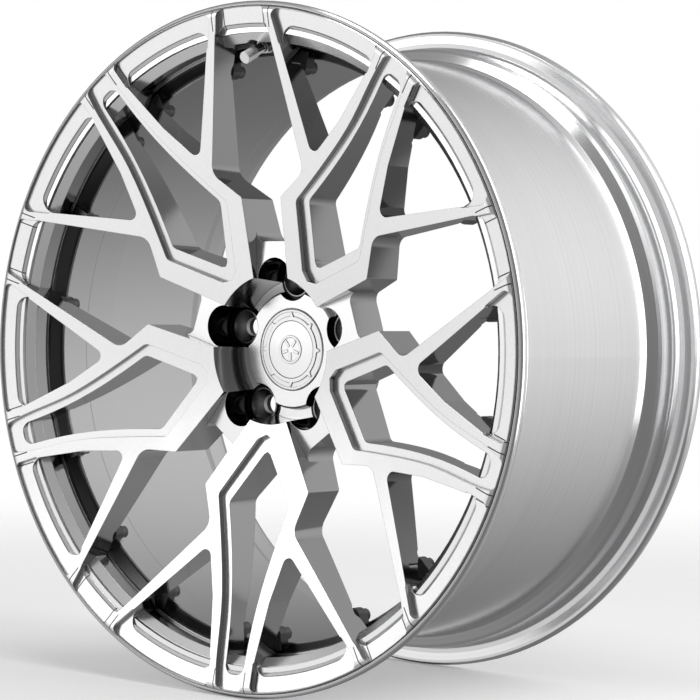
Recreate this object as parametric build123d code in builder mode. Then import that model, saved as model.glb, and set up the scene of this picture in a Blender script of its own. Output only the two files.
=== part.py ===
from build123d import *
import math
import os

os.makedirs("parts", exist_ok=True)

# Two-piece forged racing wheel, 20 x 9J, 5 x 112 bolt circle, offset +35 mm.
# The origin is on the axle, halfway across the rim. +Y runs inboard along the
# axle, so the styled face looks along -Y. +Z points up through the valve.
# "Depth" is measured inboard from the foremost plane of the wheel. All sizes
# are in millimetres.

# ---------------------------------------------------------------- overall ---
RIM_WIDTH = 254.0            # over both flanges, 9J: 228.6 between them
HALF_WIDTH = RIM_WIDTH / 2
FLANGE_R = 271.0             # 20-inch rim, J flange
FLANGE_SHEET = 12.7          # depth of the bead-side face of each flange
BEAD_R = 253.9               # bead seat next to the flange
WELL_R = 237.0               # drop centre

# ------------------------------------------------------- centre: the face ---
SPOKE_PAIRS = 5
FACE_EDGE_R = 267.0          # outer edge of the forged centre
FACE_CREST_R = 262.0         # foremost circle of the face
CREST_DEPTH = 0.0
FACE_SLOPE = 0.2090          # the face dishes inboard towards the hub
LEDGE_DROP = 4.8             # step cut into the face round the windows
LIP_OPEN_R = 254.0           # outer edge of every window opening
RING_IN_R = 240.0            # inner wall of the outer ring behind the face
RING_OUT_R = 247.0           # spigot that locates in the rim shell
RING_BACK = 30.0             # depth of the bolting face
PLATE_BACK = 9.0             # depth of the back of the lip plate
BACK_SLOPE = 0.375           # back of the spokes

# ----------------------------------------------------------- centre: hub ---
WELL_TOP_R = 59.3            # mouth of the well round the cap boss
WELL_FLOOR = 76.5
BOSS_R = 47.4
BOSS_FACE = 69.7
PAD_BACK = 92.0              # hub mounting face, offset +35
LUG_PITCH_R = 56.0           # 5 x 112
LUG_POCKET_R = 17.0
LUG_POCKET_FLOOR = 75.0
LUG_BORE_R = 7.5
SHELF_DEPTH = 47.0           # shelf between the spokes, outside the pocket
HUB_BORE_R = 36.3
HUB_BORE_FRONT = 79.5
CAP_LAND_R = 29.8
CAP_RECESS_R = 32.9
CAP_RECESS_FLOOR = 72.6

# ------------------------------------------------- window outlines (half) ---
# Points are (across, out) from the line through a lug hole, seen from the
# front. A: between a spoke and its mirror. B: between the two arms of one
# spoke. C: between neighbouring spokes, mirrored about the 36 degree line.
A_INNER = (17.7, 55.0)
A_FOOT = (18.9877, 86.0)
A_BEND = (20.4, 120.0)
A_ELBOW = (47.7, 138.8)
A_LIP = (26.6, 252.6)
A_LIP_RECESS = (23.6, 265.5)
A_RECESS_END = [(28.6, 238.0), (20.0, 229.0)]

B_APEX = (58.6, 149.4)
B_LEFT_LIP = (34.1, 251.7)
B_LEFT_RECESS = (30.3, 263.8)
B_LEFT_END = [(36.8, 236.6), (47.0, 226.0)]
B_RIGHT = [(91.0, 175.5), (120.0, 205.5)]
B_RIGHT_LIP = (131.2, 217.5)
B_RIGHT_RECESS = (137.6, 227.05)
B_RIGHT_END = [(108.0, 208.0), (124.7, 209.2)]

C_TIP_R = 67.0
C_FOOT = (34.9, 62.5)
C_BEND = (36.0, 117.0)
C_ARM = [(76.0, 149.5), (104.0, 175.5), (134.0, 210.5)]
C_LIP_RECESS = (146.2, 222.2)

C_OPEN_TIP_R = 81.0
C_OPEN_FOOT = (46.0, 69.0)
C_OPEN_BEND = (46.3, 117.3)
C_OPEN_ARM = [(80.4, 144.9), (108.5, 171.4), (138.8, 207.2)]
C_OPEN_LIP = (141.6, 210.9)

# ------------------------------------------------------------- bolting up ---
BOLT_R = 224.0
BOLT_ANGLES = (9.6, 30.6)    # each side of a lug line, behind each arm
BOLT_SHANK_R = 2.97
BOLT_HEAD_R = 5.0
BOLT_HEAD_H = 6.0
INSERT_R = 3.9
INSERT_FRONT = 16.0
TAB_BACK = 39.0
TAB_R = 6.5
WASHER_T = 1.2
FIT_GAP = 0.03

# ------------------------------------------------------------------ valve ---
WALL_TOP = (252.0, 38.0)     # drop-centre wall, (radius, depth) of its ends
WALL_FOOT = (237.5, 45.5)
WALL_THICK = 9.0
VALVE_HOLE_R = 5.75
VALVE_STEM_R = 4.1
VALVE_THREAD_R = 3.85
SPOT_R = 9.5


def y_at(depth):
    return depth - HALF_WIDTH


def face_depth(radius):
    return CREST_DEPTH + FACE_SLOPE * (FACE_CREST_R - radius)


def back_depth(radius):
    return 32.0 + BACK_SLOPE * (215.0 - radius)


def front_plane(depth):
    # Local x is +X, local y is +Z, and a negative extrusion goes inboard.
    return Plane(origin=(0, y_at(depth), 0), x_dir=(1, 0, 0), z_dir=(0, -1, 0))


def rz(points):
    # (radius, depth) points laid out on the XY plane, ready to turn about Y.
    return [(radius, y_at(depth)) for radius, depth in points]


def turned(points):
    # A solid of revolution about the axle from a closed (radius, depth) loop.
    with BuildPart(mode=Mode.PRIVATE) as ring:
        with BuildSketch(Plane.XY):
            with BuildLine():
                Polyline(*rz(points), close=True)
            make_face()
        revolve(axis=Axis.Y)
    return ring.part


def mirrored(point, axis_deg=0.0):
    # Mirror a point about the line at axis_deg clockwise from straight up.
    angle = math.radians(2 * axis_deg)
    across, out = point
    return (-across * math.cos(angle) + out * math.sin(angle),
            across * math.sin(angle) + out * math.cos(angle))


def polar(radius, angle_deg):
    # Point at an angle clockwise from straight up, seen from the front.
    angle = math.radians(angle_deg)
    return (radius * math.sin(angle), radius * math.cos(angle))


def around(part, count=SPOKE_PAIRS):
    # Copies of a part turned about the axle.
    copies = [part.rotate(Axis.Y, 360.0 * step / count) for step in range(count)]
    return copies


def nearest(sketch, point):
    # The sketch corner closest to a named point.
    return sketch.vertices().sort_by_distance((point[0], point[1], 0))[0]


def outline_face(build, corners, start_depth=-5.0):
    # Round the listed corners of the outline that build() draws.
    with BuildSketch(Plane.XY, mode=Mode.PRIVATE) as flat:
        with BuildLine():
            build()
        make_face()
        for point, radius in corners:
            corner = nearest(flat, point)
            fillet(corner, radius=radius)
    return flat.sketch


def prism(flat, depth_from, depth_to):
    # Extrude an outline inboard between two depths.
    with BuildPart(mode=Mode.PRIVATE) as block:
        with BuildSketch(front_plane(depth_from)):
            add(flat)
        extrude(amount=-(depth_to - depth_from))
    return block.part


def flip(point):
    return mirrored(point, 0.0)


def window_a():
    lip = (0.0, LIP_OPEN_R)
    Polyline(flip(A_LIP), flip(A_ELBOW), flip(A_BEND), flip(A_FOOT), A_FOOT, A_BEND, A_ELBOW, A_LIP)
    ThreePointArc(A_LIP, lip, flip(A_LIP))


def recess_a():
    top = math.hypot(*A_LIP_RECESS)
    side = [A_LIP_RECESS] + A_RECESS_END
    Polyline(*[flip(point) for point in side], *side[::-1])
    ThreePointArc(A_LIP_RECESS, (0.0, top), flip(A_LIP_RECESS))


def shelf_outline():
    # Between the two spokes beside a lug pocket, on the line of their walls.
    slope = (A_BEND[0] - A_INNER[0]) / (A_BEND[1] - A_INNER[1])
    end = (A_INNER[0] + slope * 40.0, A_INNER[1] + 40.0)
    Polyline(flip(A_INNER), flip(end), end, A_INNER, close=True)


def window_b():
    Polyline(B_LEFT_LIP, B_APEX, B_RIGHT[0], B_RIGHT[1], B_RIGHT_LIP)
    ThreePointArc(B_RIGHT_LIP, polar(LIP_OPEN_R, 20.0), B_LEFT_LIP)


def recess_b():
    Polyline(B_LEFT_RECESS, *B_LEFT_END, *B_RIGHT_END, B_RIGHT_RECESS)
    ThreePointArc(B_RIGHT_RECESS, polar(265.5, 20.0), B_LEFT_RECESS)


def window_c_side(tip_r, foot, bend, arm, lip, lip_r):
    tip = polar(tip_r, 36.0)
    Polyline(tip, foot, bend)
    Spline(bend, *arm, lip)
    ThreePointArc(lip, polar(lip_r, 36.0), mirrored(lip, 36.0))
    Spline(*[mirrored(point, 36.0) for point in [lip] + arm[::-1] + [bend]])
    Polyline(mirrored(bend, 36.0), mirrored(foot, 36.0), tip)


def window_c():
    window_c_side(C_OPEN_TIP_R, C_OPEN_FOOT, C_OPEN_BEND, C_OPEN_ARM, C_OPEN_LIP, LIP_OPEN_R)


def recess_c():
    window_c_side(C_TIP_R, C_FOOT, C_BEND, C_ARM, C_LIP_RECESS, 266.0)


def pair(corners, axis_deg):
    # The listed corners and their mirror images.
    return corners + [(mirrored(point, axis_deg), radius) for point, radius in corners]


open_a = outline_face(window_a, pair([(A_FOOT, 8), (A_BEND, 2), (A_ELBOW, 12), (A_LIP, 11)], 0))
ledge_a = outline_face(recess_a, pair([(A_LIP_RECESS, 6)], 0))
open_b = outline_face(window_b, [(B_APEX, 6), (B_LEFT_LIP, 11), (B_RIGHT_LIP, 9)])
ledge_b = outline_face(recess_b, [(B_LEFT_RECESS, 6), (B_RIGHT_RECESS, 5)])
open_c = outline_face(window_c, pair([(C_OPEN_FOOT, 4), (C_OPEN_BEND, 7), (C_OPEN_LIP, 8)], 36))
ledge_c = outline_face(recess_c, pair([(C_FOOT, 4), (C_BEND, 7), (C_LIP_RECESS, 6)], 36))

# ------------------------------------------------ the forged centre itself ---
DEEP = 110.0
centre_loop = [
    (HUB_BORE_R, PAD_BACK),
    (HUB_BORE_R, HUB_BORE_FRONT),
    (CAP_LAND_R, HUB_BORE_FRONT),
    (CAP_LAND_R, CAP_RECESS_FLOOR),
    (CAP_RECESS_R, CAP_RECESS_FLOOR),
    (CAP_RECESS_R, BOSS_FACE + 0.5),
    (CAP_RECESS_R + 0.5, BOSS_FACE),
    (BOSS_R - 1.5, BOSS_FACE),
    (BOSS_R, BOSS_FACE + 1.5),
    (BOSS_R + 0.6, WELL_FLOOR),
    (WELL_TOP_R - 3.0, WELL_FLOOR),
    (WELL_TOP_R, face_depth(WELL_TOP_R)),
    (FACE_CREST_R - 1.5, face_depth(FACE_CREST_R - 1.5)),
    (FACE_CREST_R, CREST_DEPTH),
    (FACE_CREST_R + 2.0, 0.35),
    (FACE_EDGE_R - 0.8, 1.7),
    (FACE_EDGE_R, 2.6),
    (FACE_EDGE_R, PLATE_BACK),
    (RING_OUT_R, PLATE_BACK),
    (RING_OUT_R, 18.0),
    (RING_OUT_R - 2.2, 18.0),
    (RING_OUT_R - 2.2, 21.2),
    (RING_OUT_R, 21.2),
    (RING_OUT_R, RING_BACK - 0.8),
    (RING_OUT_R - 0.8, RING_BACK),
    (217.0, RING_BACK),
    (215.0, 32.0),
    (80.0, back_depth(80.0)),
    (77.0, PAD_BACK - 1.5),
    (75.5, PAD_BACK),
]
window_space_loop = [
    (0.0, -8.0),
    (LIP_OPEN_R + 1.0, -8.0),
    (LIP_OPEN_R + 1.0, 5.5),
    (LIP_OPEN_R - 0.6, 7.2),
    (RING_IN_R, 17.0),
    (RING_IN_R, DEEP),
    (0.0, DEEP),
]
ledge_space_loop = [
    (0.0, -8.0),
    (280.0, -8.0),
    (280.0, face_depth(280.0) + LEDGE_DROP),
    (0.0, face_depth(0.0) + LEDGE_DROP),
]

# The three window shapes of one fifth of the wheel, cut off at the ring wall.
window_space = turned(window_space_loop)
ledge_space = turned(ledge_space_loop)
through_a = prism(open_a, -8.0, DEEP) & window_space
through_b = prism(open_b, -8.0, DEEP) & window_space
through_c = prism(open_c, -8.0, DEEP) & window_space
step_a = prism(ledge_a, -8.0, 20.0) & ledge_space
step_b = prism(ledge_b, -8.0, 20.0) & ledge_space
step_c = prism(ledge_c, -8.0, 60.0) & ledge_space
shelf = prism(outline_face(shelf_outline, []), -8.0, SHELF_DEPTH)
fifth = [through_a, through_b, through_b.mirror(Plane.YZ), through_c]
fifth += [step_a, step_b, step_b.mirror(Plane.YZ), step_c]

# The valve leans with the drop-centre wall, so that its hole is square to it.
wall_dr = WALL_FOOT[0] - WALL_TOP[0]
wall_dd = WALL_FOOT[1] - WALL_TOP[1]
wall_len = math.hypot(wall_dr, wall_dd)
valve_in = (-wall_dd / wall_len, wall_dr / wall_len)     # (radius, depth), towards the cap
wall_mid = (WALL_TOP[0] * 0.5 + WALL_FOOT[0] * 0.5, WALL_TOP[1] * 0.5 + WALL_FOOT[1] * 0.5)
seat_r = wall_mid[0] + valve_in[0] * WALL_THICK
seat_depth = wall_mid[1] + valve_in[1] * WALL_THICK


def valve_plane(height):
    # Square to the valve's axis, height above the seat of its nut.
    return Plane(
        origin=(0, y_at(seat_depth + valve_in[1] * height), seat_r + valve_in[0] * height),
        x_dir=(1, 0, 0),
        z_dir=(0, valve_in[1], valve_in[0]),
    )


with BuildPart() as wheel_centre:
    with BuildSketch(Plane.XY):
        with BuildLine():
            Polyline(*rz(centre_loop), close=True)
        make_face()
    revolve(axis=Axis.Y)
    for cutter in fifth:
        for copy in around(cutter):
            add(copy, mode=Mode.SUBTRACT)
    # Shelf between the spokes, lug pockets, seats and bores.
    for copy in around(shelf):
        add(copy, mode=Mode.SUBTRACT)
    with BuildSketch(front_plane(-8.0)):
        with PolarLocations(LUG_PITCH_R, SPOKE_PAIRS, start_angle=90):
            Circle(LUG_POCKET_R)
    extrude(amount=-(LUG_POCKET_FLOOR + 8.0), mode=Mode.SUBTRACT)
    with BuildSketch(front_plane(LUG_POCKET_FLOOR)):
        with PolarLocations(LUG_PITCH_R, SPOKE_PAIRS, start_angle=90):
            Circle(14.0 + FIT_GAP)
    extrude(amount=-12.5, mode=Mode.SUBTRACT)
    with BuildSketch(front_plane(LUG_POCKET_FLOOR)):
        with PolarLocations(LUG_PITCH_R, SPOKE_PAIRS, start_angle=90):
            Circle(LUG_BORE_R)
    extrude(amount=-DEEP, mode=Mode.SUBTRACT)
    # Blind holes for the thread inserts, one behind each arm.
    with BuildSketch(front_plane(INSERT_FRONT)):
        for side in (-1, 1):
            for angle in BOLT_ANGLES:
                with PolarLocations(BOLT_R, SPOKE_PAIRS, start_angle=90 + side * angle):
                    Circle(INSERT_R + FIT_GAP)
    extrude(amount=-20.0, mode=Mode.SUBTRACT)
    # Room for the valve's nut.
    with BuildSketch(valve_plane(-6)):
        Circle(SPOT_R)
    extrude(amount=66.0, mode=Mode.SUBTRACT)
wheel_centre.part.label = "wheel_centre"
export_step(wheel_centre.part, "parts/wheel_centre.step")

# --------------------------------------------------------------- rim shell ---
shell_loop = [
    (FACE_EDGE_R + FIT_GAP, PLATE_BACK + FIT_GAP),
    (FACE_EDGE_R + FIT_GAP, 3.2),
    (FACE_EDGE_R + 0.9, 2.6),
    (FLANGE_R - 1.6, 3.4),
    (FLANGE_R - 0.4, 4.6),
    (FLANGE_R, 6.0),
    (FLANGE_R, 8.0),
    (FLANGE_R - 0.7, 10.2),
    (FLANGE_R - 2.3, 12.0),
    (FLANGE_R - 4.5, FLANGE_SHEET),
    (260.5, FLANGE_SHEET),
    (256.6, 13.9),
    (254.6, 16.3),
    (BEAD_R, 19.2),
    (BEAD_R - 1.2, 33.0),
    (BEAD_R - 0.5, 35.5),
    WALL_TOP,
    WALL_FOOT,
    (WELL_R, 48.0),
    (WELL_R, 100.0),
    (242.0, 205.0),
    (244.0, 211.0),
    (251.0, 217.0),
    (BEAD_R - 0.5, 219.5),
    (BEAD_R - 1.2, 222.0),
    (BEAD_R, 234.8),
    (254.6, 237.7),
    (256.6, 240.1),
    (260.5, RIM_WIDTH - FLANGE_SHEET),
    (FLANGE_R - 4.5, RIM_WIDTH - FLANGE_SHEET),
    (FLANGE_R - 2.3, 242.0),
    (FLANGE_R - 0.7, 243.8),
    (FLANGE_R, 246.0),
    (FLANGE_R, 248.5),
    (FLANGE_R - 1.2, 251.6),
    (FLANGE_R - 3.6, 253.5),
    (FLANGE_R - 6.5, RIM_WIDTH),
    (260.0, RIM_WIDTH),
    (252.0, 251.0),
    (247.5, 243.0),
    (246.4, 236.0),
    (246.0, 222.0),
    (238.2, 207.0),
    (232.6, 100.0),
    (232.3, 70.0),
    (231.0, 67.5),
    (231.0, 42.0),
    (232.4, 38.6),
    (237.6, 32.2),
    (238.6, RING_BACK + FIT_GAP),
    (RING_OUT_R + FIT_GAP, RING_BACK + FIT_GAP),
    (RING_OUT_R + FIT_GAP, PLATE_BACK + FIT_GAP),
]
tab_angles = [side * angle for side in (-1, 1) for angle in BOLT_ANGLES]

with BuildPart() as rim_shell:
    with BuildSketch(Plane.XY):
        with BuildLine():
            Polyline(*rz(shell_loop), close=True)
        make_face()
    revolve(axis=Axis.Y)
    # One tab behind each arm of the face takes its assembly bolt.
    with BuildSketch(front_plane(RING_BACK + FIT_GAP)):
        for angle in tab_angles:
            with PolarLocations(BOLT_R, SPOKE_PAIRS, start_angle=90 + angle):
                Circle(TAB_R)
                with Locations((6.0, 0)):
                    Rectangle(12.0, 2 * TAB_R)
    extrude(amount=-(TAB_BACK - RING_BACK - FIT_GAP))
    with BuildSketch(front_plane(RING_BACK - 1)):
        for angle in tab_angles:
            with PolarLocations(BOLT_R, SPOKE_PAIRS, start_angle=90 + angle):
                Circle(BOLT_SHANK_R + 0.13)
    extrude(amount=-12.0, mode=Mode.SUBTRACT)
    # Valve hole, square to the wall, with a flat for the nut and one outside.
    with BuildSketch(valve_plane(0)):
        Circle(SPOT_R)
    extrude(amount=30.0, mode=Mode.SUBTRACT)
    with BuildSketch(valve_plane(-WALL_THICK + 0.3)):
        Circle(SPOT_R + 0.5)
    extrude(amount=-8.0, mode=Mode.SUBTRACT)
    with BuildSketch(valve_plane(1)):
        Circle(VALVE_HOLE_R)
    extrude(amount=-30.0, mode=Mode.SUBTRACT)
rim_shell.part.label = "rim_shell"
export_step(rim_shell.part, "parts/rim_shell.step")


with BuildPart() as seal_ring:
    add(turned([
        (RING_OUT_R - 2.1, 18.9),
        (RING_OUT_R - 2.1, 20.3),
        (RING_OUT_R - 1.2, 21.0),
        (RING_OUT_R - 0.7, 21.0),
        (RING_OUT_R, 20.1),
        (RING_OUT_R, 19.1),
        (RING_OUT_R - 0.7, 18.2),
        (RING_OUT_R - 1.2, 18.2),
    ]))
seal_ring.part.label = "seal_ring"
export_step(seal_ring.part, "parts/seal_ring.step")

# ------------------------------------------------------ assembly hardware ---
with BuildPart() as thread_inserts:
    with BuildSketch(front_plane(INSERT_FRONT + 0.2)):
        for angle in tab_angles:
            with PolarLocations(BOLT_R, SPOKE_PAIRS, start_angle=90 + angle):
                Circle(INSERT_R)
                Circle(BOLT_SHANK_R + FIT_GAP, mode=Mode.SUBTRACT)
    extrude(amount=-13.2)
thread_inserts.part.label = "thread_inserts"
export_step(thread_inserts.part, "parts/thread_inserts.step")

with BuildPart() as bolt_washers:
    with BuildSketch(front_plane(TAB_BACK + 0.01)):
        for angle in tab_angles:
            with PolarLocations(BOLT_R, SPOKE_PAIRS, start_angle=90 + angle):
                Circle(5.8)
                Circle(BOLT_SHANK_R + 0.2, mode=Mode.SUBTRACT)
    extrude(amount=-(WASHER_T - 0.02))
bolt_washers.part.label = "bolt_washers"
export_step(bolt_washers.part, "parts/bolt_washers.step")

HEAD_FRONT = TAB_BACK + WASHER_T
with BuildPart() as assembly_bolts:
    with BuildSketch(front_plane(INSERT_FRONT + 1.5)):
        for angle in tab_angles:
            with PolarLocations(BOLT_R, SPOKE_PAIRS, start_angle=90 + angle):
                Circle(BOLT_SHANK_R)
    extrude(amount=-(HEAD_FRONT - INSERT_FRONT - 1.5))
    with BuildSketch(front_plane(HEAD_FRONT)):
        for angle in tab_angles:
            with PolarLocations(BOLT_R, SPOKE_PAIRS, start_angle=90 + angle):
                Circle(BOLT_HEAD_R)
    extrude(amount=-BOLT_HEAD_H)
    with BuildSketch(front_plane(HEAD_FRONT + BOLT_HEAD_H - 3.0)):
        for angle in tab_angles:
            with PolarLocations(BOLT_R, SPOKE_PAIRS, start_angle=90 + angle):
                RegularPolygon(2.9, 6)
    extrude(amount=-4.0, mode=Mode.SUBTRACT)
    rims = assembly_bolts.edges().filter_by(GeomType.CIRCLE)
    rims = [e for e in rims if abs(e.radius - BOLT_HEAD_R) < 0.01 and e.center().Y > y_at(HEAD_FRONT + 1)]
    chamfer(rims, length=0.6)
assembly_bolts.part.label = "assembly_bolts"
export_step(assembly_bolts.part, "parts/assembly_bolts.step")

# -------------------------------------------------- hub: seats and collar ---
SEAT_MOUTH_R = 12.6
SEAT_CONE = (SEAT_MOUTH_R - LUG_BORE_R) / math.tan(math.radians(30))

with BuildPart() as lug_seats:
    with BuildSketch(Plane.XY):
        with BuildLine():
            Polyline(
                (LUG_BORE_R, 0),
                (14.0, 0),
                (14.0, 12.3),
                (13.6, 12.7),
                (SEAT_MOUTH_R, 12.7),
                (LUG_BORE_R, 12.7 - SEAT_CONE),
                close=True,
            )
        make_face()
    revolve(axis=Axis.Y)
seat_master = lug_seats.part.rotate(Axis.X, 180).translate((0, y_at(LUG_POCKET_FLOOR + 12.48), LUG_PITCH_R))
lug_seats = Compound(children=around(seat_master))
lug_seats.label = "lug_seats"
export_step(lug_seats, "parts/lug_seats.step")

HUB_R = 33.3                 # 66.6 mm hub spigot
with BuildPart() as hub_ring:
    add(turned([
        (HUB_R, 82.6),
        (HUB_R + 0.8, 81.8),
        (HUB_BORE_R - 0.6, 81.8),
        (HUB_BORE_R - FIT_GAP, 82.4),
        (HUB_BORE_R - FIT_GAP, PAD_BACK - 0.5),
        (HUB_BORE_R - 0.5, PAD_BACK),
        (HUB_R + 1.0, PAD_BACK),
        (HUB_R, PAD_BACK - 1.0),
    ]))
hub_ring.part.label = "hub_centring_ring"
export_step(hub_ring.part, "parts/hub_centring_ring.step")

# -------------------------------------------------------------- centre cap ---
CAP_R = 32.7
CAP_FRONT = 69.3
CAP_SKIRT_R = CAP_LAND_R - 0.05
CAP_SKIRT_END = 81.0
EMBLEM_R = 23.2
TOOTH_ROOT_R = 26.2
TOOTH_TIP_R = 29.7
TEETH = 8

with BuildPart() as cap_body:
    add(turned([
        (0, CAP_FRONT + 0.9),
        (EMBLEM_R + 0.1, CAP_FRONT + 0.9),
        (EMBLEM_R + 0.1, CAP_FRONT + 0.3),
        (TOOTH_TIP_R + 0.6, CAP_FRONT + 0.3),
        (TOOTH_TIP_R + 0.6, CAP_FRONT),
        (CAP_R - 0.9, CAP_FRONT),
        (CAP_R, CAP_FRONT + 0.9),
        (CAP_R, CAP_RECESS_FLOOR - FIT_GAP),
        (CAP_SKIRT_R, CAP_RECESS_FLOOR - FIT_GAP),
        (CAP_SKIRT_R, CAP_SKIRT_END - 0.8),
        (CAP_SKIRT_R - 0.8, CAP_SKIRT_END),
        (27.4, CAP_SKIRT_END),
        (27.4, 79.4),
        (28.4, 79.0),
        (28.4, 77.6),
        (27.4, 77.2),
        (27.4, CAP_FRONT + 3.2),
        (0, CAP_FRONT + 3.2),
    ]))
    # Slots turn the skirt into eight legs.
    with BuildSketch(front_plane(CAP_RECESS_FLOOR + 0.6)):
        with PolarLocations(28.6, TEETH, start_angle=22.5):
            Rectangle(6.0, 5.0)
    extrude(amount=-12.0, mode=Mode.SUBTRACT)
    # Groove under the flange for the anti-rattle ring.
    with BuildSketch(front_plane(CAP_RECESS_FLOOR - 1.2)):
        Circle(CAP_R - 0.6)
        Circle(CAP_R - 2.1, mode=Mode.SUBTRACT)
    extrude(amount=-2.0, mode=Mode.SUBTRACT)
cap_body.part.label = "cap_body"
export_step(cap_body.part, "parts/cap_body.step")

with BuildPart() as cap_gear_ring:
    with BuildSketch(front_plane(CAP_FRONT - 0.4)):
        Circle(TOOTH_ROOT_R)
        with PolarLocations((TOOTH_ROOT_R + TOOTH_TIP_R) / 2 - 0.6, TEETH, start_angle=0):
            Trapezoid(4.6, TOOTH_TIP_R - TOOTH_ROOT_R + 1.2, 66, rotation=-90)
        Circle(EMBLEM_R + 0.1, mode=Mode.SUBTRACT)
    extrude(amount=-0.68)
cap_gear_ring.part.label = "cap_gear_ring"
export_step(cap_gear_ring.part, "parts/cap_gear_ring.step")

with BuildPart() as cap_emblem:
    add(turned([
        (0, CAP_FRONT - 0.9),
        (12.0, CAP_FRONT - 0.75),
        (EMBLEM_R - 0.5, CAP_FRONT - 0.3),
        (EMBLEM_R, CAP_FRONT + 0.1),
        (EMBLEM_R, CAP_FRONT + 0.88),
        (0, CAP_FRONT + 0.88),
    ]))
cap_emblem.part.label = "cap_emblem"
export_step(cap_emblem.part, "parts/cap_emblem.step")

with BuildPart() as cap_spring_ring:
    # Open wire ring that spreads the legs.
    with BuildSketch(Plane.XY):
        with Locations((27.75, y_at(78.3))):
            Circle(0.58)
    revolve(axis=Axis.Y, revolution_arc=345)
cap_spring_ring.part.label = "cap_spring_ring"
export_step(cap_spring_ring.part, "parts/cap_spring_ring.step")

with BuildPart() as cap_o_ring:
    add(turned([
        (CAP_R - 2.05, CAP_RECESS_FLOOR - 1.0),
        (CAP_R - 1.7, CAP_RECESS_FLOOR - 1.18),
        (CAP_R - 1.0, CAP_RECESS_FLOOR - 1.18),
        (CAP_R - 0.65, CAP_RECESS_FLOOR - 1.0),
        (CAP_R - 0.65, CAP_RECESS_FLOOR - 0.2),
        (CAP_R - 1.0, CAP_RECESS_FLOOR - 0.02),
        (CAP_R - 1.7, CAP_RECESS_FLOOR - 0.02),
        (CAP_R - 2.05, CAP_RECESS_FLOOR - 0.2),
    ]))
cap_o_ring.part.label = "cap_o_ring"
export_step(cap_o_ring.part, "parts/cap_o_ring.step")

# ------------------------------------------------------------------- valve ---
# Heights run along the valve's axis from the nut's seat, positive towards the
# cap, negative into the tyre.
OUTSIDE = -WALL_THICK + 0.3
STEM_TIP = 23.5


def disc(height, length, outer, inner=0.0):
    # A disc or ring about the valve's axis.
    with BuildPart(mode=Mode.PRIVATE) as ring:
        with BuildSketch(valve_plane(height)):
            Circle(outer)
            if inner > 0:
                Circle(inner, mode=Mode.SUBTRACT)
        extrude(amount=length)
    return ring.part


with BuildPart() as valve_stem:
    add(disc(OUTSIDE - 5.0, 1.8, 8.2))
    add(disc(OUTSIDE - 3.2, 16.5 - (OUTSIDE - 3.2), VALVE_STEM_R))
    add(disc(16.5, STEM_TIP - 16.5, VALVE_THREAD_R))
    with BuildSketch(valve_plane(STEM_TIP)):
        Circle(2.6)
    extrude(amount=-12.5, mode=Mode.SUBTRACT)
    with BuildSketch(valve_plane(STEM_TIP)):
        Circle(1.6)
    extrude(amount=-45.0, mode=Mode.SUBTRACT)
valve_stem.part.label = "valve_stem"
export_step(valve_stem.part, "parts/valve_stem.step")

with BuildPart() as valve_grommet:
    add(disc(OUTSIDE - 3.15, 3.1, 8.6, VALVE_STEM_R + FIT_GAP))
    add(disc(OUTSIDE - 0.05, 6.0, VALVE_HOLE_R - FIT_GAP, VALVE_STEM_R + FIT_GAP))
valve_grommet.part.label = "valve_grommet"
export_step(valve_grommet.part, "parts/valve_grommet.step")

with BuildPart() as valve_washer:
    add(disc(0.01, 1.2, 7.2, VALVE_STEM_R + 0.1))
valve_washer.part.label = "valve_washer"
export_step(valve_washer.part, "parts/valve_washer.step")

with BuildPart() as valve_nut:
    with BuildSketch(valve_plane(1.23)):
        RegularPolygon(6.3, 6)
        Circle(VALVE_STEM_R + FIT_GAP, mode=Mode.SUBTRACT)
    extrude(amount=5.0)
valve_nut.part.label = "valve_nut"
export_step(valve_nut.part, "parts/valve_nut.step")

CAP_MOUTH = 16.6
CAP_END = 29.6
with BuildPart() as valve_cap:
    add(disc(CAP_MOUTH, CAP_END - CAP_MOUTH, 4.9))
    chamfer(valve_cap.edges().filter_by(GeomType.CIRCLE), length=0.5)
    with BuildSketch(valve_plane(CAP_MOUTH)):
        Circle(VALVE_STEM_R + 0.05)
    extrude(amount=CAP_END - CAP_MOUTH - 2.2, mode=Mode.SUBTRACT)
    with BuildSketch(valve_plane(CAP_MOUTH + 1.5)):
        with PolarLocations(5.05, 16):
            Circle(0.42)
    extrude(amount=CAP_END - CAP_MOUTH - 3.5, mode=Mode.SUBTRACT)
valve_cap.part.label = "valve_cap"
export_step(valve_cap.part, "parts/valve_cap.step")

with BuildPart() as valve_cap_seal:
    add(disc(CAP_END - 3.4, 1.15, VALVE_STEM_R))
valve_cap_seal.part.label = "valve_cap_seal"
export_step(valve_cap_seal.part, "parts/valve_cap_seal.step")

with BuildPart() as valve_core:
    add(disc(STEM_TIP - 4.0, 3.4, 2.57, 0.8))
    add(disc(STEM_TIP - 11.9, 7.9, 1.9, 1.45))
    add(disc(STEM_TIP - 12.45, 0.55, 1.9, 0.8))
valve_core.part.label = "valve_core"
export_step(valve_core.part, "parts/valve_core.step")

with BuildPart() as core_seal:
    add(disc(STEM_TIP - 7.5, 2.2, 2.55, 1.93))
core_seal.part.label = "core_seal"
export_step(core_seal.part, "parts/core_seal.step")

with BuildPart() as valve_pin:
    add(disc(STEM_TIP - 15.6, 15.2, 0.6))
    add(disc(STEM_TIP - 15.6, 1.2, 1.3))
    add(disc(STEM_TIP - 5.6, 0.8, 1.25))
valve_pin.part.label = "valve_pin"
export_step(valve_pin.part, "parts/valve_pin.step")

SPRING_PITCH = 0.92
coil = Helix(pitch=SPRING_PITCH, height=4.85, radius=1.02).moved(valve_plane(STEM_TIP - 11.65).location)
with BuildPart() as valve_spring:
    with BuildSketch(Plane(origin=coil @ 0, z_dir=coil % 0)):
        Circle(0.16)
    sweep(path=coil, is_frenet=True)
valve_spring.part.label = "valve_spring"
export_step(valve_spring.part, "parts/valve_spring.step")
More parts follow.
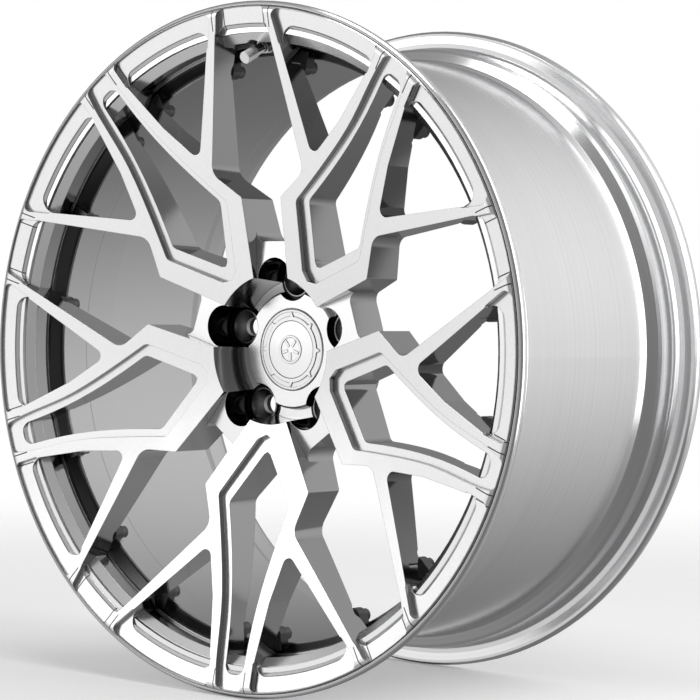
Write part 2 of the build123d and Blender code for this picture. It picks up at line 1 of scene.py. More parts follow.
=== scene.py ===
# %% [markdown]
# # A forged racing wheel in Blender
# The wheel arrives as a finished engineering model: every forging, bolt and
# seal is already in place and at its real size. What is left for Blender is
# how it looks: satin and polished aluminium, black gloss pockets, rubber,
# brass, and the soft light of a studio. Units are metres. +Y runs along the
# axle towards the car, so the face of the wheel looks along -Y.

# %% Load the wheel
import bmesh
import bpy
import math
from mathutils import Matrix, Vector


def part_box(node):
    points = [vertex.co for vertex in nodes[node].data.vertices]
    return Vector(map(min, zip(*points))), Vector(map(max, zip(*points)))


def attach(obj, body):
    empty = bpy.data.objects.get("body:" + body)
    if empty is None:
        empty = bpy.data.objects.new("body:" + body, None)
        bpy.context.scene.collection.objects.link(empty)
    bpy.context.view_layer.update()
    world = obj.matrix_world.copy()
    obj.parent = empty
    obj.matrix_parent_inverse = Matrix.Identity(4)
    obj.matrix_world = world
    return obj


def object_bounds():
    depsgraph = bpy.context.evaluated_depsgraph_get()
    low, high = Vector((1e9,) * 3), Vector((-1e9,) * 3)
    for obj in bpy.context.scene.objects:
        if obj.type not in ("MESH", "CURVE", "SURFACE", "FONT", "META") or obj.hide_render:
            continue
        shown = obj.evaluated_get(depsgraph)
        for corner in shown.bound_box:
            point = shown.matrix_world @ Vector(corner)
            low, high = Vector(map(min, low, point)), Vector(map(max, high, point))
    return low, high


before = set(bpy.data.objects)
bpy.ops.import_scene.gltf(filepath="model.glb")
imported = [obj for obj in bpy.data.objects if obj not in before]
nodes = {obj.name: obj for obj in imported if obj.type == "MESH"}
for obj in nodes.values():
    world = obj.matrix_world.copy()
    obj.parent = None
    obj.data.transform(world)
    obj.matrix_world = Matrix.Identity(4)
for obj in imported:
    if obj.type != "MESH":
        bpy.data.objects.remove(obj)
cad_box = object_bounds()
print("pieces:", len(nodes))
print("box:", [[round(v, 4) for v in corner] for corner in cad_box])

# %% [markdown]
# ## Sizes that the materials need
# The finish changes from place to place by how far a spot is from the axle
# and how deep it lies behind the face, so a few radii and depths are named
# here once. The foremost plane of the wheel is the low Y side of its box.
# The wheel repeats five times round the axle. Each arm's tip lies a set
# distance to one side of a line from the axle through a lug hole, or of a
# line halfway between two lug holes.

# %% Radii, depths and widths
FRONT_Y = cad_box[0][1]
REPEATS = 5
FIFTH = 2 * math.pi / REPEATS
LUG_CIRCLE = 0.056
POCKET_RADIUS = 0.0171
ARM_NEAR_LUG = 0.0247
ARM_NEAR_MIDDLE = 0.0202
ARM_HALF_WIDTH = 0.0044
# Painted shade: the next three size the thin dark lines along both sides of each arm.
SHADE_LINE_HALF_WIDTH = 0.0005
SHADE_LINE_START = 0.2505
SHADE_LINE_END = 0.2672
TAB_DEPTH = 0.0405
TAB_RADIUS = 0.2385
print("front plane at y =", round(FRONT_Y, 4))

# %% [markdown]
# ## Helpers for shader trees
# A shader tree is a set of small machines joined by cables. Writing out each
# machine and cable takes many lines, so the helpers below do it. They accept
# numbers or the outputs of other nodes, and all but the first give back an
# output.


# %% Helpers for numbers and colours
def fill(tree, socket, value):
    """Joins another node's output to a socket, or sets a colour or a number on it."""
    if isinstance(value, (int, float)):
        socket.default_value = value
    elif isinstance(value, tuple):
        socket.default_value = (*value, 1.0)
    else:
        tree.links.new(value, socket)


def math_node(tree, operation, first, second=None, clamp=False):
    node = tree.nodes.new("ShaderNodeMath")
    node.operation = operation
    node.use_clamp = clamp
    fill(tree, node.inputs[0], first)
    if second is not None:
        fill(tree, node.inputs[1], second)
    return node.outputs[0]


def mix(tree, kind, factor, first, second):
    """Blends two colours ("RGBA") or two numbers ("FLOAT")."""
    node = tree.nodes.new("ShaderNodeMix")
    node.data_type = kind
    for label, value in (("Factor", factor), ("A", first), ("B", second)):
        fill(tree, node.inputs[label], value)
    return node.outputs["Result"]


def smooth_step(tree, value, low, high):
    """0 below low, 1 above high, and a soft ramp between them."""
    node = tree.nodes.new("ShaderNodeMapRange")
    node.interpolation_type = "SMOOTHSTEP"
    fill(tree, node.inputs["Value"], value)
    fill(tree, node.inputs["From Min"], low)
    fill(tree, node.inputs["From Max"], high)
    return node.outputs["Result"]


def axle_distance(tree, x, z):
    """How far a spot is from the axle."""
    squares = math_node(tree, "ADD", math_node(tree, "MULTIPLY", x, x), math_node(tree, "MULTIPLY", z, z))
    return math_node(tree, "SQRT", squares)


print("helpers for numbers and colours are ready")

# %% [markdown]
# ## Shader node groups
# Machined metal never has one flat colour. A cutter leaves fine lines,
# handling leaves faint smudges, and polish dries in the corners. Each of
# these effects serves several materials, so each is a node group with its
# own inputs, made once. A group gives back only numbers.


# %% Helpers for groups
def new_group(name, inputs, outputs):
    group = bpy.data.node_groups.new(name, "ShaderNodeTree")
    for label, value in inputs.items():
        socket = group.interface.new_socket(label, in_out="INPUT", socket_type="NodeSocketFloat")
        socket.default_value = value
    for label in outputs:
        group.interface.new_socket(label, in_out="OUTPUT", socket_type="NodeSocketFloat")
    start = group.nodes.new("NodeGroupInput")
    end = group.nodes.new("NodeGroupOutput")
    return group, start, end


def place_group(tree, group, settings):
    node = tree.nodes.new("ShaderNodeGroup")
    node.node_tree = group
    for label, value in settings.items():
        node.inputs[label].default_value = value
    return node


def axes_of(group, label):
    """X, Y and Z of the spot on the wheel ("Object") or of the way it faces ("Normal")."""
    place = group.nodes.new("ShaderNodeTexCoord")
    split = group.nodes.new("ShaderNodeSeparateXYZ")
    group.links.new(place.outputs[label], split.inputs[0])
    return split.outputs


def noise_node(group, vector, scale, detail, roughness=0.5):
    noise = group.nodes.new("ShaderNodeTexNoise")
    noise.inputs["Detail"].default_value = detail
    noise.inputs["Roughness"].default_value = roughness
    group.links.new(vector, noise.inputs["Vector"])
    group.links.new(scale, noise.inputs["Scale"])
    return noise.outputs["Fac"]


def give_relief(group, noise, start, end):
    """Sends out noise as a height round zero and as a tone from 0 to 1."""
    centred = math_node(group, "SUBTRACT", noise, 0.5)
    height = math_node(group, "MULTIPLY", centred, start.outputs["Contrast"])
    group.links.new(height, end.inputs["Height"])
    group.links.new(noise, end.inputs["Tone"])


print("helpers for groups are ready")

# %% [markdown]
# ### Turning lines
# A rim is spun, so its lines are circles round the axle. Feeding a noise
# texture with the distance from the axle and the place along it, and leaving
# out the angle, gives rings that never fade round the wheel.


# %% Turning lines group
def build_turning_lines():
    group, start, end = new_group("turning lines", {"Lines per mm": 1.0, "Contrast": 0.5}, ("Height", "Tone"))
    spot = axes_of(group, "Object")
    join = group.nodes.new("ShaderNodeCombineXYZ")
    group.links.new(axle_distance(group, spot["X"], spot["Z"]), join.inputs["X"])
    group.links.new(spot["Y"], join.inputs["Y"])
    per_metre = math_node(group, "MULTIPLY", start.outputs["Lines per mm"], 1000.0)
    give_relief(group, noise_node(group, join.outputs[0], per_metre, 3.0), start, end)
    return group


turning_lines = build_turning_lines()
print("group:", turning_lines.name)

# %% [markdown]
# ### Satin grain
# Fine finishing leaves a grain that is too small to see as marks, but breaks
# up reflections. The noise is drawn out along the axle, so that the window
# walls get a grain that runs from front to back, as a milling cutter's does,
# while the faces stay even.

# %% Satin grain group
AXLE_STRETCH = 0.12


def build_satin_grain():
    group, start, end = new_group("satin grain", {"Fineness": 900.0, "Contrast": 0.3}, ("Height", "Tone"))
    place = group.nodes.new("ShaderNodeTexCoord")
    stretch = group.nodes.new("ShaderNodeVectorMath")
    stretch.operation = "MULTIPLY"
    stretch.inputs[1].default_value = (1.0, AXLE_STRETCH, 1.0)
    group.links.new(place.outputs["Object"], stretch.inputs[0])
    noise = noise_node(group, stretch.outputs[0], start.outputs["Fineness"], 4.0, 0.6)
    give_relief(group, noise, start, end)
    return group


satin_grain = build_satin_grain()
print("group:", satin_grain.name)

# %% [markdown]
# ### Handling marks
# Even a new wheel has been touched. Large, soft clouds of noise change the
# roughness by a few hundredths, which breaks up a reflection just enough.


# %% Handling marks group
def build_handling_marks():
    group, start, end = new_group(
        "handling marks", {"Base": 0.3, "Spread": 0.08, "Scale": 14.0}, ("Roughness",)
    )
    place = group.nodes.new("ShaderNodeTexCoord")
    noise = noise_node(group, place.outputs["Object"], start.outputs["Scale"], 6.0, 0.65)
    centred = math_node(group, "SUBTRACT", noise, 0.5)
    shift = math_node(group, "MULTIPLY", centred, start.outputs["Spread"])
    rough = math_node(group, "ADD", shift, start.outputs["Base"], clamp=True)
    group.links.new(rough, end.inputs["Roughness"])
    return group


handling_marks = build_handling_marks()
print("group:", handling_marks.name)

# %% [markdown]
# ### Folding the wheel into one fifth
# The wheel repeats five times round the axle. Folding the angle of a spot
# into one fifth of a turn lets one rule serve all five places. The fold can
# be centred on a lug hole or halfway between two of them.


# %% Folded angle and distance across
def folded_angle(group, turn, centred_on_lug):
    if centred_on_lug:
        turn = math_node(group, "ADD", turn, FIFTH / 2)
    return math_node(group, "SUBTRACT", math_node(group, "FLOORED_MODULO", turn, FIFTH), FIFTH / 2)


def distance_from(group, value, target):
    return math_node(group, "ABSOLUTE", math_node(group, "SUBTRACT", value, target))


def distance_beside(group, radius, folded):
    """How far a spot lies beside the line on which the folded angle is 0."""
    side = math_node(group, "MULTIPLY", radius, math_node(group, "SINE", folded))
    return math_node(group, "ABSOLUTE", side)


print("one fifth is", round(math.degrees(FIFTH)), "degrees")

# %% [markdown]
# ### Where on the wheel a spot lies
# One forging carries several finishes and colours. The front faces are
# bright, the walls of the windows are painted darker as shade, and the five
# pockets of the lug bolts are painted near black as a dark reflection. This
# group tells them apart by shape alone. "Face" is 1 where the surface looks
# along the axle, "Pocket" is 1 inside the round pockets, "Outward" tells the
# outside of the barrel from its inside, and the last output is 1 on the thin
# lines of painted shade that run along both sides of each arm out to the edge.


# %% Surface zones group
# Painted shade: a thin dark line on each side of each arm stands in for the shade along a thin groove that
# the mesh does not have.
def shade_line_mask(group, radius, folded, middle, face):
    near_lug = distance_beside(group, radius, folded)
    near_middle = distance_beside(group, radius, middle)
    from_arm = math_node(group, "MINIMUM", distance_from(group, near_lug, ARM_NEAR_LUG),
                         distance_from(group, near_middle, ARM_NEAR_MIDDLE))
    line = math_node(group, "LESS_THAN", distance_from(group, from_arm, ARM_HALF_WIDTH), SHADE_LINE_HALF_WIDTH)
    band = math_node(group, "MULTIPLY", math_node(group, "GREATER_THAN", radius, SHADE_LINE_START),
                     math_node(group, "LESS_THAN", radius, SHADE_LINE_END))
    return math_node(group, "MULTIPLY", line, math_node(group, "MULTIPLY", band, face))


def pocket_mask(group, radius, folded):
    side = math_node(group, "MULTIPLY", radius, math_node(group, "SINE", folded))
    reach = math_node(group, "MULTIPLY", radius, math_node(group, "COSINE", folded))
    gap = axle_distance(group, side, math_node(group, "SUBTRACT", reach, LUG_CIRCLE))
    return math_node(group, "LESS_THAN", gap, POCKET_RADIUS)


def build_surface_zones():
    outputs = ("Face", "Pocket", "Radius", "Depth", "Outward", "Shade line")
    group, start, end = new_group("surface zones", {"Face from": 0.55, "Face to": 0.85}, outputs)
    spot = axes_of(group, "Object")
    facing = axes_of(group, "Normal")
    frontward = math_node(group, "MULTIPLY", facing["Y"], -1.0)
    face = smooth_step(group, frontward, start.outputs["Face from"], start.outputs["Face to"])
    radius = axle_distance(group, spot["X"], spot["Z"])
    turn = math_node(group, "ARCTAN2", spot["X"], spot["Z"])
    folded = folded_angle(group, turn, True)
    middle = folded_angle(group, turn, False)
    out_x = math_node(group, "MULTIPLY", spot["X"], facing["X"])
    out_z = math_node(group, "MULTIPLY", spot["Z"], facing["Z"])
    found = {
        "Face": face,
        "Pocket": pocket_mask(group, radius, folded),
        "Radius": radius,
        "Depth": math_node(group, "SUBTRACT", spot["Y"], FRONT_Y),
        "Outward": math_node(group, "DIVIDE", math_node(group, "ADD", out_x, out_z), radius),
        "Shade line": shade_line_mask(group, radius, folded, middle, face),
    }
    for label, output in found.items():
        group.links.new(output, end.inputs[label])
    return group


surface_zones = build_surface_zones()
print("group:", surface_zones.name)

# %% [markdown]
# ### Painted shade in the corners
# Less light reaches tight corners, so they get a painted shade: a darker
# colour. Ambient occlusion over a few millimetres finds these corners: it is
# high where another surface stands close by.


# %% Painted corner shade group
def build_corner_shade():
    group, start, end = new_group("corner shade", {"Reach": 0.004, "From": 0.25, "Full": 0.55}, ("Mask",))
    hollow = group.nodes.new("ShaderNodeAmbientOcclusion")
    hollow.samples = 6
    group.links.new(start.outputs["Reach"], hollow.inputs["Distance"])
    # Painted shade: the mask is high in tight corners, where other surfaces keep light out.
    closed = math_node(group, "SUBTRACT", 1.0, hollow.outputs["AO"])
    mask = smooth_step(group, closed, start.outputs["From"], start.outputs["Full"])
    group.links.new(mask, end.inputs["Mask"])
    return group


corner_shade = build_corner_shade()
print("group:", corner_shade.name)

# %% [markdown]
# ## A recipe for every finish on the wheel
# All the finishes share one layout: a base colour that drifts slightly with
# the tone of the grain, a roughness from the handling marks, and a bump from
# the grain. Only the grain and the numbers differ, so one function lays out
# the nodes. It serves the rubber too, with Metallic at 0.

# %% The recipe
GRAIN_HEIGHT = 0.0002


def make_finish(name, dark, light, rough, spread, grain, grain_settings, bump, metallic=1.0, coat=0.0):
    finish = bpy.data.materials.new(name)
    finish.use_nodes = True
    tree = finish.node_tree
    skin = tree.nodes["Principled BSDF"]
    skin.inputs["Metallic"].default_value = metallic
    skin.inputs["Coat Weight"].default_value = coat
    lines = place_group(tree, grain, grain_settings)
    marks = place_group(tree, handling_marks, {"Base": rough, "Spread": spread})
    tree.links.new(marks.outputs["Roughness"], skin.inputs["Roughness"])
    tree.links.new(mix(tree, "RGBA", lines.outputs["Tone"], dark, light), skin.inputs["Base Color"])
    relief = tree.nodes.new("ShaderNodeBump")
    relief.inputs["Strength"].default_value = bump
    relief.inputs["Distance"].default_value = GRAIN_HEIGHT
    tree.links.new(lines.outputs["Height"], relief.inputs["Height"])
    tree.links.new(relief.outputs["Normal"], skin.inputs["Normal"])
    return finish


def grey(tone, blue=None):
    """A neutral grey, or a tinted one when its blue is given too."""
    return (tone, tone, tone if blue is None else blue)


def feeding(skin, label):
    """The output that now feeds one of the shader's sockets."""
    return skin.inputs[label].links[0].from_socket


def dress(node_name, finish):
    piece = nodes[node_name]
    piece.data.materials.clear()
    piece.data.materials.append(finish)
    print(node_name, "->", finish.name)


# %% [markdown]
# ### Broken edges
# A machinist breaks every sharp edge, and the thin rounding catches light.
# The Bevel node rounds edges in the shading alone and leaves the mesh as it
# is. It feeds the bump, so that grain and rounding add up.


# %% Rounded edges
def rounded_edges(tree, skin, radius):
    soft = tree.nodes.new("ShaderNodeBevel")
    soft.samples = 4
    soft.inputs["Radius"].default_value = radius
    relief = skin.inputs["Normal"].links[0].from_node
    tree.links.new(soft.outputs["Normal"], relief.inputs["Normal"])


print("edge rounding is ready")

# %% [markdown]
# ## The forged centre
# The face is the part people look at: bright, finely finished aluminium. The
# window walls behind it are smoother, and painted darker as shade, since they
# face away from the light. Painted shade then darkens the tight corners and
# draws thin lines along both sides of each arm, and the lug pockets are
# painted near black as the dark reflection of their gloss. The colours are
# laid over each other in that order.

# %% Forged centre
# Painted shade: the window walls are darker than the face, as they face away from the light.
SHADED_WALL_GREY = grey(0.36, 0.365)
# Painted reflection: the lug pockets are near black, as their gloss mirrors dark surroundings.
POCKET_DARK_REFLECTION = grey(0.022, 0.023)
CENTRE_EDGE = 0.0007


def forged_centre():
    finish = make_finish("satin forging", grey(0.84), grey(0.95), 0.22, 0.08,
                         satin_grain, {"Fineness": 520.0, "Contrast": 0.4}, 0.14)
    tree = finish.node_tree
    skin = tree.nodes["Principled BSDF"]
    zones = place_group(tree, surface_zones, {}).outputs
    painted_shade = place_group(tree, corner_shade, {"Reach": 0.0026, "From": 0.28, "Full": 0.75})
    # Painted shade: surfaces that do not look to the front get the darker wall grey.
    colour = mix(tree, "RGBA", zones["Face"], SHADED_WALL_GREY, feeding(skin, "Base Color"))
    # Painted shade: the tight corners of the forging are darkened to near black.
    colour = mix(tree, "RGBA", painted_shade.outputs["Mask"], colour, grey(0.06))
    # Painted shade: thin dark lines along both sides of each arm.
    colour = mix(tree, "RGBA", zones["Shade line"], colour, grey(0.10))
    # Painted reflection: the lug pockets are near black, standing in for the dark surroundings that their
    # gloss mirrors.
    colour = mix(tree, "RGBA", zones["Pocket"], colour, POCKET_DARK_REFLECTION)
    tree.links.new(colour, skin.inputs["Base Color"])
    rough = mix(tree, "FLOAT", zones["Face"], 0.13, feeding(skin, "Roughness"))
    rough = mix(tree, "FLOAT", zones["Pocket"], rough, 0.10)
    tree.links.new(rough, skin.inputs["Roughness"])
    rounded_edges(tree, skin, CENTRE_EDGE)
    return finish


dress("wheel_centre", forged_centre())

# %% [markdown]
# ## The rim shell
# Outside, the shell is polished, with faint turning lines. Inside the barrel
# it is only turned, so it is greyer and softer. Which side is which follows
# from whether the surface looks away from the axle. The part that reaches in
# behind the ring, with the tabs for the bolts, is painted near black as shade,
# as it lies in the shadow of the ring; this keeps it in the background.

# %% Rim shell
INSIDE_BELOW = -0.3
BARREL_GREY = grey(0.58, 0.585)
SHELL_EDGE = 0.0006


def rim_barrel():
    finish = make_finish("polished shell", grey(0.80, 0.81), grey(0.90, 0.91), 0.20, 0.06,
                         turning_lines, {"Lines per mm": 0.35, "Contrast": 0.5}, 0.06)
    tree = finish.node_tree
    skin = tree.nodes["Principled BSDF"]
    zones = place_group(tree, surface_zones, {}).outputs
    painted_shade = place_group(tree, corner_shade, {"Reach": 0.006, "From": 0.25, "Full": 0.7})
    inside = math_node(tree, "LESS_THAN", zones["Outward"], INSIDE_BELOW)
    # Painted shade: the shell behind the ring, with the bolt tabs, is painted near black.
    shaded = math_node(tree, "MULTIPLY", math_node(tree, "LESS_THAN", zones["Depth"], TAB_DEPTH),
                       math_node(tree, "LESS_THAN", zones["Radius"], TAB_RADIUS))
    colour = mix(tree, "RGBA", inside, feeding(skin, "Base Color"), BARREL_GREY)
    colour = mix(tree, "RGBA", shaded, colour, grey(0.10))
    # Painted shade: the tight corners of the shell are darkened.
    colour = mix(tree, "RGBA", painted_shade.outputs["Mask"], colour, grey(0.12))
    tree.links.new(colour, skin.inputs["Base Color"])
    rough = mix(tree, "FLOAT", inside, feeding(skin, "Roughness"), 0.30)
    tree.links.new(rough, skin.inputs["Roughness"])
    rounded_edges(tree, skin, SHELL_EDGE)
    return finish


dress("rim_shell", rim_barrel())

# %% [markdown]
# ## Bolts, washers and seats
# The bolts that hold the shell to the centre are dark plated steel, and so are
# their washers. The bolts' dark colour is partly the plating and partly painted
# shade, so that they read as lying in the shadow behind the ring. The conical
# seats of the lug holes and the thread inserts are bare turned steel, a little
# lighter.

# %% Steel parts
# Partly painted shade: the bolts' dark grey is partly the plating and partly shade, so they read as lying in
# shadow.
bolt_metal = make_finish("plated bolts", grey(0.10, 0.102), grey(0.15, 0.152), 0.34, 0.1,
                         satin_grain, {"Fineness": 1500.0, "Contrast": 0.4}, 0.2)
washer_metal = make_finish("plated washers", grey(0.14, 0.142), grey(0.20, 0.202), 0.3, 0.1,
                           satin_grain, {"Fineness": 1500.0, "Contrast": 0.4}, 0.2)
seat_metal = make_finish("turned seats", grey(0.26, 0.265), grey(0.38, 0.385), 0.24, 0.05,
                         satin_grain, {"Fineness": 1200.0, "Contrast": 0.4}, 0.2)
dress("assembly_bolts", bolt_metal)
dress("bolt_washers", washer_metal)
for node_name in ("thread_inserts", "lug_seats"):
    dress(node_name, seat_metal)
for node_name in ("cap_spring_ring", "valve_spring"):
    dress(node_name, bolt_metal)

# %% [markdown]
# ## Seals
# Rubber is dark, soft in its reflections and not a metal. A stronger grain
# gives it the dull skin that a mould leaves.

# %% Rubber parts
rubber = make_finish("black rubber", grey(0.018), grey(0.03), 0.62, 0.1,
                     satin_grain, {"Fineness": 900.0, "Contrast": 0.8}, 0.3, metallic=0.0)
for node_name in ("seal_ring", "cap_o_ring", "valve_grommet", "valve_cap_seal", "core_seal"):
    dress(node_name, rubber)

# %% [markdown]
# ## Painted shade lines in shallow relief
# The relief on the cap and the valve is shallow, so its edges would be lost
# in soft light. Painted shade in the corners draws them as dark lines.

# %% Shallow relief
RELIEF_REACH = 0.0016
RELIEF_EDGE = 0.0003


def outline_relief(finish):
    tree = finish.node_tree
    skin = tree.nodes["Principled BSDF"]
    painted_shade = place_group(tree, corner_shade, {"Reach": RELIEF_REACH, "From": 0.08, "Full": 0.40})
    # Painted shade: the corners of the relief are darkened into thin outlines.
    colour = mix(tree, "RGBA", painted_shade.outputs["Mask"], feeding(skin, "Base Color"), grey(0.10))
    tree.links.new(colour, skin.inputs["Base Color"])
    rounded_edges(tree, skin, RELIEF_EDGE)


print("relief lines reach", RELIEF_REACH * 1000, "mm")

# %% [markdown]
# ## The valve
# Stem, washer and nut are anodised aluminium, and so is the wheel's centring
# ring. The core inside the stem is brass.
# The cap is brighter than the rest, partly so that it stays visible in the
# shade of the rim: at a Metallic of 0.6 it also scatters some light.

# %% Valve parts
valve_metal = make_finish("anodised valve", grey(0.72, 0.73), grey(0.80, 0.81), 0.24, 0.05,
                          satin_grain, {"Fineness": 1600.0, "Contrast": 0.4}, 0.15)
outline_relief(valve_metal)
valve_cap_metal = make_finish("bright valve cap", grey(0.90), grey(0.97), 0.22, 0.05,
                              satin_grain, {"Fineness": 1600.0, "Contrast": 0.4}, 0.1,
                              metallic=0.6, coat=0.3)
brass = make_finish("valve brass", (0.60, 0.45, 0.20), (0.72, 0.55, 0.28), 0.3, 0.08,
                    satin_grain, {"Fineness": 1600.0, "Contrast": 0.4}, 0.2)
for node_name in ("valve_stem", "valve_washer", "valve_nut", "hub_centring_ring"):
    dress(node_name, valve_metal)
dress("valve_cap", valve_cap_metal)
for node_name in ("valve_core", "valve_pin"):
    dress(node_name, brass)

# %% [markdown]
# ## The centre cap
# The cap is plastic under a silver paint: nearly a metal in its colour, with
# a clear coat that adds a second, sharper reflection. The disc in its middle
# is turned, so it carries the turning lines.

# %% Cap parts
cap_paint = make_finish("cap paint", grey(0.84), grey(0.90), 0.3, 0.06,
                        satin_grain, {"Fineness": 1100.0, "Contrast": 0.3}, 0.1,
                        metallic=0.85, coat=0.5)
emblem_metal = make_finish("emblem satin", grey(0.86), grey(0.93), 0.3, 0.05,
                           turning_lines, {"Lines per mm": 2.0, "Contrast": 0.5}, 0.15)
outline_relief(cap_paint)
outline_relief(emblem_metal)
for node_name in ("cap_body", "cap_gear_ring"):
    dress(node_name, cap_paint)
dress("cap_emblem", emblem_metal)

# %% [markdown]
# ## A plain relief on the cap
# The middle of the cap carries a raised motif: a small ring with five bars,
# an echo of the wheel itself. Ring and bars are closed slabs, built face by
# face in mesh code. They stand a third of a millimetre proud of the disc and
# reach a tenth of a millimetre into it, so no gap shows.

# %% Cap motif
MOTIF_LIFT = 0.00035
MOTIF_FOOT = 0.0001
RING_INNER = 0.0098
RING_OUTER = 0.0112
RING_STEPS = 60
BAR_INNER = 0.0030
BAR_OUTER = 0.0085
BAR_INNER_TURN = 0.30
BAR_OUTER_TURN = 0.10


def motif_point(shape, radius, turn, y):
    return shape.verts.new((radius * math.sin(turn), y, radius * math.cos(turn)))


def add_ring(shape, top_y, foot_y):
    loops = []
    for y in (top_y, foot_y):
        for radius in (RING_INNER, RING_OUTER):
            turns = [2 * math.pi * k / RING_STEPS for k in range(RING_STEPS)]
            loops.append([motif_point(shape, radius, turn, y) for turn in turns])
    top_in, top_out, foot_in, foot_out = loops
    for k in range(RING_STEPS):
        n = (k + 1) % RING_STEPS
        shape.faces.new((top_in[k], top_out[k], top_out[n], top_in[n]))
        shape.faces.new((foot_in[n], foot_out[n], foot_out[k], foot_in[k]))
        shape.faces.new((top_out[k], foot_out[k], foot_out[n], top_out[n]))
        shape.faces.new((top_in[n], foot_in[n], foot_in[k], top_in[k]))


def add_bar(shape, turn, top_y, foot_y):
    corners = (
        (BAR_INNER, turn - BAR_INNER_TURN),
        (BAR_OUTER, turn - BAR_OUTER_TURN),
        (BAR_OUTER, turn + BAR_OUTER_TURN),
        (BAR_INNER, turn + BAR_INNER_TURN),
    )
    top = [motif_point(shape, r, t, top_y) for r, t in corners]
    foot = [motif_point(shape, r, t, foot_y) for r, t in corners]
    shape.faces.new(top)
    shape.faces.new(foot[::-1])
    for i in range(len(corners)):
        j = (i + 1) % len(corners)
        shape.faces.new((top[j], top[i], foot[i], foot[j]))


def cap_motif():
    low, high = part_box("cap_emblem")
    top_y = low[1] - MOTIF_LIFT
    foot_y = low[1] + MOTIF_FOOT
    mesh = bpy.data.meshes.new("cap_motif")
    motif = bpy.data.objects.new("cap_motif", mesh)
    bpy.context.scene.collection.objects.link(motif)
    shape = bmesh.new()
    add_ring(shape, top_y, foot_y)
    for k in range(REPEATS):
        add_bar(shape, 2 * math.pi * (k + 0.5) / REPEATS, top_y, foot_y)
    bmesh.ops.recalc_face_normals(shape, faces=shape.faces)
    shape.to_mesh(mesh)
    shape.free()
    mesh.materials.append(emblem_metal)
    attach(motif, "centre_cap")
    print("cap motif at y =", round(top_y, 4), "on a disc of radius", round((high[0] - low[0]) / 2, 4))


cap_motif()

# %% [markdown]
# ## The floor
# A plain pale floor carries the wheel's soft shadow. It fades out with
# distance, so no horizon crosses the picture, and it stays out of glossy
# reflections, so no horizon crosses the polished barrel either. A weak glow
# keeps it close to white.

# %% Floor
FLOOR_SIZE = 8.0
FLOOR_GAP = 0.0002
FADE_START = 0.5
FADE_END = 1.8


def floor_paint():
    paint = bpy.data.materials.new("floor paint")
    paint.use_nodes = True
    tree = paint.node_tree
    skin = tree.nodes["Principled BSDF"]
    skin.inputs["Base Color"].default_value = (0.95, 0.95, 0.95, 1)
    skin.inputs["Roughness"].default_value = 0.8
    skin.inputs["Emission Color"].default_value = (1, 1, 1, 1)
    skin.inputs["Emission Strength"].default_value = 0.22
    place = tree.nodes.new("ShaderNodeTexCoord")
    distance = tree.nodes.new("ShaderNodeVectorMath")
    distance.operation = "LENGTH"
    tree.links.new(place.outputs["Object"], distance.inputs[0])
    fade = tree.nodes.new("ShaderNodeMapRange")
    fade.interpolation_type = "SMOOTHSTEP"
    fade.inputs["From Min"].default_value = FADE_START
    fade.inputs["From Max"].default_value = FADE_END
    fade.inputs["To Min"].default_value = 1.0
    fade.inputs["To Max"].default_value = 0.0
    tree.links.new(distance.outputs["Value"], fade.inputs["Value"])
    tree.links.new(fade.outputs["Result"], skin.inputs["Alpha"])
    return paint


def studio_floor():
    bpy.ops.mesh.primitive_plane_add(size=FLOOR_SIZE, location=(0, 0, cad_box[0][2] - FLOOR_GAP))
    floor = bpy.context.object
    floor.name = "studio_floor"
    floor.data.materials.append(floor_paint())
    floor.visible_glossy = False
    print("floor at z =", round(floor.location.z, 4))


studio_floor()

# %% [markdown]
# ## The room
# Bare aluminium is a mirror with a grain: it shows whatever surrounds it. In
# an evenly white room it would vanish. So the room seen in reflections is a
# dark grey with two broad bright areas. One lies in front to the left, where
# the face of the wheel reflects it, and one behind to the right and above,
# where the barrel does. The camera itself still sees plain white.

# %% Room light
ROOM_GREY = 0.18
FRONT_LEFT = (-0.60, -0.78, 0.0)
REAR_RIGHT = (0.50, 0.75, 0.35)


def bright_area(tree, view, way, power, gain):
    """gain * max(0, cosine)^power, with the angle measured from one direction."""
    along = tree.nodes.new("ShaderNodeVectorMath")
    along.operation = "DOT_PRODUCT"
    along.inputs[1].default_value = tuple(Vector(way).normalized())
    tree.links.new(view, along.inputs[0])
    cosine = math_node(tree, "MAXIMUM", along.outputs["Value"], 0.0)
    return math_node(tree, "MULTIPLY", math_node(tree, "POWER", cosine, power), gain)


def room_light():
    world = bpy.data.worlds.new("studio room")
    bpy.context.scene.world = world
    world.use_nodes = True
    tree = world.node_tree
    reflected = tree.nodes["Background"]
    view = tree.nodes.new("ShaderNodeTexCoord").outputs["Generated"]
    front = bright_area(tree, view, FRONT_LEFT, 2.0, 0.80)
    rear = bright_area(tree, view, REAR_RIGHT, 2.0, 0.68)
    total = math_node(tree, "ADD", math_node(tree, "ADD", front, rear), ROOM_GREY)
    tree.links.new(total, reflected.inputs["Color"])
    white = tree.nodes.new("ShaderNodeBackground")
    white.inputs["Color"].default_value = (1, 1, 1, 1)
    path = tree.nodes.new("ShaderNodeLightPath")
    pick = tree.nodes.new("ShaderNodeMixShader")
    tree.links.new(path.outputs["Is Camera Ray"], pick.inputs["Fac"])
    tree.links.new(reflected.outputs[0], pick.inputs[1])
    tree.links.new(white.outputs[0], pick.inputs[2])
    tree.links.new(pick.outputs[0], tree.nodes["World Output"].inputs["Surface"])
    print("room light:", world.name)


room_light()

# %% [markdown]
# ## The lamps
# Three large soft lamps add what the room lacks: a key light from the front
# left, a strip overhead, and a tall light wall to the right of the barrel.
# All three are hidden from the camera.


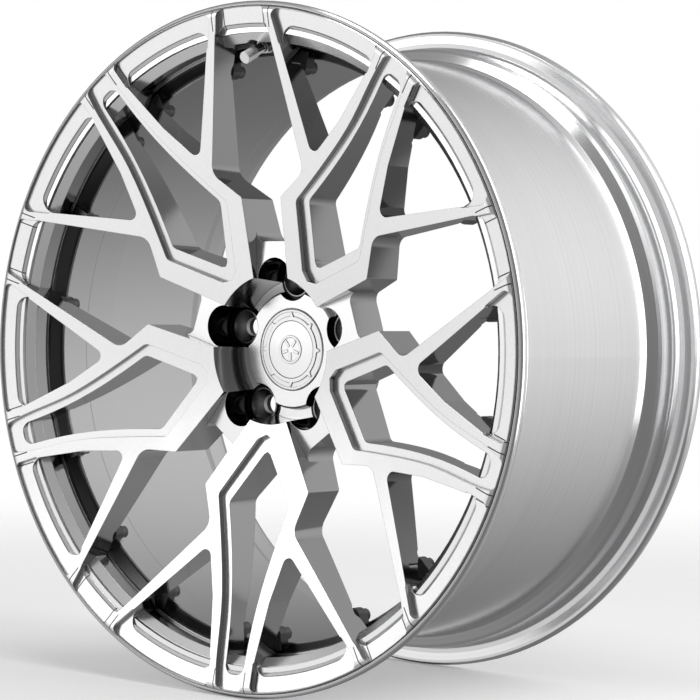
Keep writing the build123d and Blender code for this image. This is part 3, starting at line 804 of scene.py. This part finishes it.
# %% Lamps
def soft_lamp(name, where, target, size, power):
    data = bpy.data.lights.new(name, "AREA")
    data.shape = "RECTANGLE"
    data.size = size[0]
    data.size_y = size[1]
    data.energy = power
    lamp = bpy.data.objects.new(name, data)
    bpy.context.scene.collection.objects.link(lamp)
    lamp.location = where
    lamp.rotation_euler = (Vector(target) - Vector(where)).to_track_quat("-Z", "Y").to_euler()
    lamp.visible_camera = False
    print(name, power, "W")


soft_lamp("key softbox", (-1.7, -2.0, 0.9), (0, 0, 0), (1.2, 1.6), 5)
soft_lamp("overhead strip", (0.0, -0.4, 1.6), (0, 0, 0), (0.9, 0.5), 5)
soft_lamp("barrel wall", (1.15, 0.10, 0.45), (0.25, 0, 0), (1.0, 2.4), 12)

# %% [markdown]
# ## The camera
# A long lens, a little under two metres away, almost level with the axle and
# about 39 degrees to the right of it. A long lens keeps the near and the far
# flange close to the same size. The last turn, about the axle, tips the
# valve a degree and a half off the vertical.

# %% Camera
LENS_MM = 120.25
SENSOR_MM = 36.0
EYE = (1.2144, -1.4815, 0.0079)
AHEAD = (-0.6296, 0.7769, -0.0045)
UPWARD = (0, 0.0058, 1)
TIP_DEGREES = 1.57
VIEW_RANGE = 50


def wheel_camera():
    ahead = Vector(AHEAD).normalized()
    right = ahead.cross(Vector(UPWARD)).normalized()
    up = right.cross(ahead)
    data = bpy.data.cameras.new("camera")
    data.sensor_width = SENSOR_MM
    data.lens = LENS_MM
    data.clip_end = VIEW_RANGE
    camera = bpy.data.objects.new("camera", data)
    bpy.context.scene.collection.objects.link(camera)
    facing = Matrix((right, up, -ahead)).transposed().to_4x4()
    tip = Matrix.Rotation(-math.radians(TIP_DEGREES), 4, "Y")
    camera.matrix_world = tip @ Matrix.Translation(Vector(EYE)) @ facing
    bpy.context.scene.camera = camera
    print("camera at", [round(v, 3) for v in camera.matrix_world.translation])


wheel_camera()

# %% [markdown]
# ## The view transform
# The Standard view transform shows greys as they were set.

# %% Finish
bpy.context.scene.view_settings.view_transform = "Standard"
